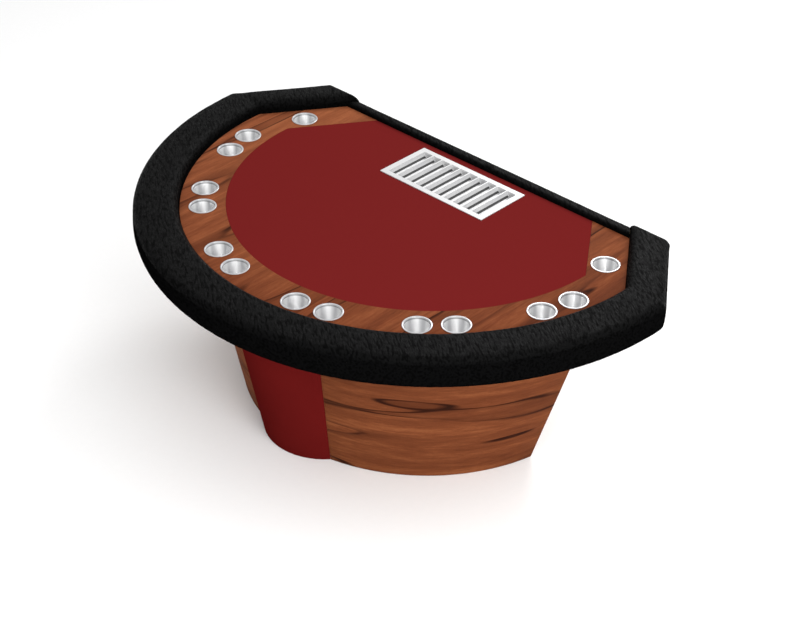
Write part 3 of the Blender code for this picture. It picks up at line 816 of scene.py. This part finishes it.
def tray_row(radius, brow, steps):
    first = asin(brow / radius)
    shoulder = (CHANNELS - 1) / 2 * CHANNEL_PITCH + radius + GAP
    points = [(-shoulder, 0.0)]
    for i in range(CHANNELS):
        middle = (i - (CHANNELS - 1) / 2) * CHANNEL_PITCH
        for k in range(steps + 1):
            angle = pi + first + (pi - 2 * first) * k / steps
            points.append((middle + radius * cos(angle), radius * sin(angle)))
    return [*points, (shoulder, 0.0)]


def tray_surface(made, row, edge, level, depths, channelled):
    rows = []
    for y, is_channel in zip(depths, channelled):
        line = [made.verts.new((-edge, y, level))]
        for x, drop in row:
            z = min(level, TRAY_HIGH[2] + drop) if is_channel else level
            line.append(made.verts.new((x, y, z)))
        line.append(made.verts.new((edge, y, level)))
        rows.append(line)
    for line_a, line_b in zip(rows, rows[1:]):
        bridge(made, line_a, line_b, closed=False)
    return rows


def make_chip_tray():
    """Pressed aluminium tray: ten half-round channels under a flat rim."""
    front, back = TRAY_LOW[1] + TRAY_RIM, TRAY_HIGH[1] - TRAY_RIM
    edge = TRAY_HIGH[0]
    draft = 0.0008
    upper_depths = (TRAY_LOW[1], front, front + draft, back - draft, back, TRAY_HIGH[1])
    lower_depths = (TRAY_LOW[1], front - TRAY_SHEET, front + draft - TRAY_SHEET,
                    back - draft + TRAY_SHEET, back + TRAY_SHEET, TRAY_HIGH[1])
    channelled = (False, False, True, True, False, False)
    made = bmesh.new()
    upper = tray_surface(made, tray_row(CHANNEL_R, 0.0, 24), edge, TRAY_HIGH[2],
                         upper_depths, channelled)
    lower = tray_surface(made, tray_row(CHANNEL_R + TRAY_SHEET, 0.011, 16), edge,
                         FELT_Z + GAP, lower_depths, channelled)
    for upper_line, lower_line in ((upper[0], lower[0]), (upper[-1], lower[-1])):
        cap(made, [upper_line + lower_line[::-1]])
    for side in (0, -1):
        bridge(made, [line[side] for line in upper], [line[side] for line in lower],
               closed=False)
    piece = new_piece("chip_tray_pressing", made, TRAY)
    ease_edges(piece, 0.0005, angle=50)
    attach(piece, "chip_tray")
    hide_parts("chip_tray")


# ------------------------------------------------------------ pedestal
SEAM_ANGLE = asin(SEAM_X / PEDESTAL_R)
SEAM_Y = PEDESTAL_ARC_Y - PEDESTAL_R * cos(SEAM_ANGLE)
BOW_R = (SEAM_X ** 2 + BOW ** 2) / (2 * BOW)
BOW_ARC_Y = SEAM_Y - BOW + BOW_R
BOW_ANGLE = asin(SEAM_X / BOW_R)


def growth(z):
    return 1 + GROWTH * z


def grown_y(y, z):
    return ARC_Y + TAPER_Y + growth(z) * (y - TAPER_Y)


def wall_point(z, inset, angle):
    radius = PEDESTAL_R * growth(z) - inset
    return (radius * sin(angle), grown_y(PEDESTAL_ARC_Y, z) - radius * cos(angle))


def wall_angle(z, inset, y):
    radius = PEDESTAL_R * growth(z) - inset
    return acos((grown_y(PEDESTAL_ARC_Y, z) - y) / radius)


def wall_arc(z, inset, start, end, steps):
    return [wall_point(z, inset, start + (end - start) * i / steps) for i in range(steps + 1)]


def side_wall(sign):
    def section(z):
        back = grown_y(PEDESTAL_BACK_Y, z)
        start = SEAM_ANGLE + GAP / PEDESTAL_R
        outside = wall_arc(z, 0.0, start, wall_angle(z, 0.0, back - 0.0005), 72)
        corner = wall_point(z, 0.0, wall_angle(z, 0.0, back))
        inside = wall_arc(z, PANEL_T, wall_angle(z, PANEL_T, back), start, 72)
        points = [*outside, (corner[0] - 0.0005, back), *inside]
        return [(sign * x, y) for x, y in points]

    return section


def bow_arc(z, inset, half_angle, steps):
    radius = BOW_R * growth(z) - inset
    centre_y = grown_y(BOW_ARC_Y, z)
    angles = [half_angle * (2 * i / steps - 1) for i in range(steps + 1)]
    return [(radius * sin(angle), centre_y - radius * cos(angle)) for angle in angles]


def front_wall(z):
    half_angle = BOW_ANGLE - GAP / BOW_R
    return bow_arc(z, 0.0, half_angle, 72) + bow_arc(z, FRONT_T, half_angle, 72)[::-1]


def back_wall(z):
    back = grown_y(PEDESTAL_BACK_Y, z)
    inset = PANEL_T + 0.0014
    outer = wall_point(z, inset, wall_angle(z, inset, back))
    inner = wall_point(z, inset, wall_angle(z, inset, back - PANEL_T))
    return [inner, outer, (-outer[0], back), (-inner[0], back - PANEL_T)]


def make_pedestal():
    z0, z1 = FRONT_LOW[2], FRONT_HIGH[2]
    walls = (
        ("walnut_wall_left", side_wall(-1), WALL_WOOD, "pedestal_side_left", "walnut"),
        ("walnut_wall_right", side_wall(1), WALL_WOOD, "pedestal_side_right", "walnut"),
        ("walnut_wall_back", back_wall, WALL_WOOD, "pedestal_back", "walnut"),
        ("red_bowed_wall", front_wall, RED_PANEL, "pedestal_front", "red_laminate"),
    )
    for name, section, look, node, slot in walls:
        piece = leaning(name, section, z0, z1, look)
        ease_edges(piece, 0.0012)
        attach(piece, "root")
        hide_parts(node)


# ------------------------------------------------------------ carried-over CAD pieces
def dress(name, look):
    node = NODES[name]
    node.data.materials.clear()
    node.data.materials.append(look)


def dress_cad():
    looks = {"felt_underlay": FOAM, "rear_apron": BLACK_PLY}
    prefixes = (("floor_glide", RUBBER), ("rail_bolt", ZINC), ("pedestal_bolt", ZINC))
    for name in NODES:
        look = looks.get(name, PLY)
        for prefix, prefix_look in prefixes:
            if name.startswith(prefix):
                look = prefix_look
        dress(name, look)


# ------------------------------------------------------------ stage, light and camera
def make_floor():
    look = Look("studio_floor")
    tone = look.noise(look.place(), 40.0, 3.0)
    look.surface(Base_Color=look.mix(tone, (0.94, 0.94, 0.94), (0.97, 0.97, 0.97)),
                 Roughness=0.9, Specular_IOR_Level=0.1)
    bpy.ops.mesh.primitive_plane_add(size=60, location=(0, 0, -0.0005))
    floor = bpy.context.object
    floor.name = "studio_floor"
    floor.data.materials.append(look.material)


def area_light(name, place, target, size, power):
    data = bpy.data.lights.new(name, "AREA")
    data.shape = "RECTANGLE"
    data.size, data.size_y = size
    data.energy = power
    light = bpy.data.objects.new(name, data)
    light.location = place
    aim = Vector(target) - Vector(place)
    light.rotation_euler = aim.to_track_quat("-Z", "Y").to_euler()
    bpy.context.collection.objects.link(light)


def make_lights():
    """A bright soft sky overhead and behind the dealer, darker towards the players."""
    world = bpy.data.worlds.new("studio")
    bpy.context.scene.world = world
    world.use_nodes = True
    nodes = world.node_tree.nodes
    links = world.node_tree.links
    where = nodes.new("ShaderNodeTexCoord")
    towards = nodes.new("ShaderNodeVectorMath")
    towards.operation = "DOT_PRODUCT"
    towards.inputs[1].default_value = Vector((0.12, 0.46, 0.80)).normalized()
    level = nodes.new("ShaderNodeMapRange")
    level.inputs["From Min"].default_value = -0.35
    level.inputs["From Max"].default_value = 0.95
    level.inputs["To Min"].default_value = 0.18
    level.inputs["To Max"].default_value = 1.15
    links.new(where.outputs["Generated"], towards.inputs[0])
    links.new(towards.outputs["Value"], level.inputs["Value"])
    links.new(level.outputs["Result"], nodes["Background"].inputs["Strength"])
    nodes["Background"].inputs["Color"].default_value = (1.0, 1.0, 1.0, 1.0)
    area_light("key", (4.2, -1.6, 2.6), (0, 0, 0.4), (2.5, 2.5), 160)
    area_light("fill", (2.0, -4.0, 2.2), (0, 0, 0.4), (2.5, 2.5), 65)
    area_light("back", (-1.1, 3.2, 2.9), (0.75, 0.35, 0.75), (1.6, 1.0), 60)


CAMERA_AZIMUTH = radians(44.15)
CAMERA_ELEVATION = radians(34.95)
CAMERA_DISTANCE = 5.521
CAMERA_TARGET = (0.4452, ARC_Y - 0.641, FELT_Z)
CAMERA_LENS = 76.875


def make_camera():
    data = bpy.data.cameras.new("camera")
    data.lens = CAMERA_LENS
    data.sensor_width = 36.0
    camera = bpy.data.objects.new("camera", data)
    back = Vector((
        sin(CAMERA_AZIMUTH) * cos(CAMERA_ELEVATION),
        -cos(CAMERA_AZIMUTH) * cos(CAMERA_ELEVATION),
        sin(CAMERA_ELEVATION),
    ))
    camera.location = Vector(CAMERA_TARGET) + CAMERA_DISTANCE * back
    camera.rotation_euler = (-back).to_track_quat("-Z", "Y").to_euler()
    bpy.context.collection.objects.link(camera)
    bpy.context.scene.camera = camera


dress_cad()
make_arm_rail()
make_dealer_strip()
make_racetrack()
make_felt()
make_cups()
make_chip_tray()
make_pedestal()
make_floor()
make_lights()
make_camera()
bpy.context.scene.view_settings.view_transform = "Standard"
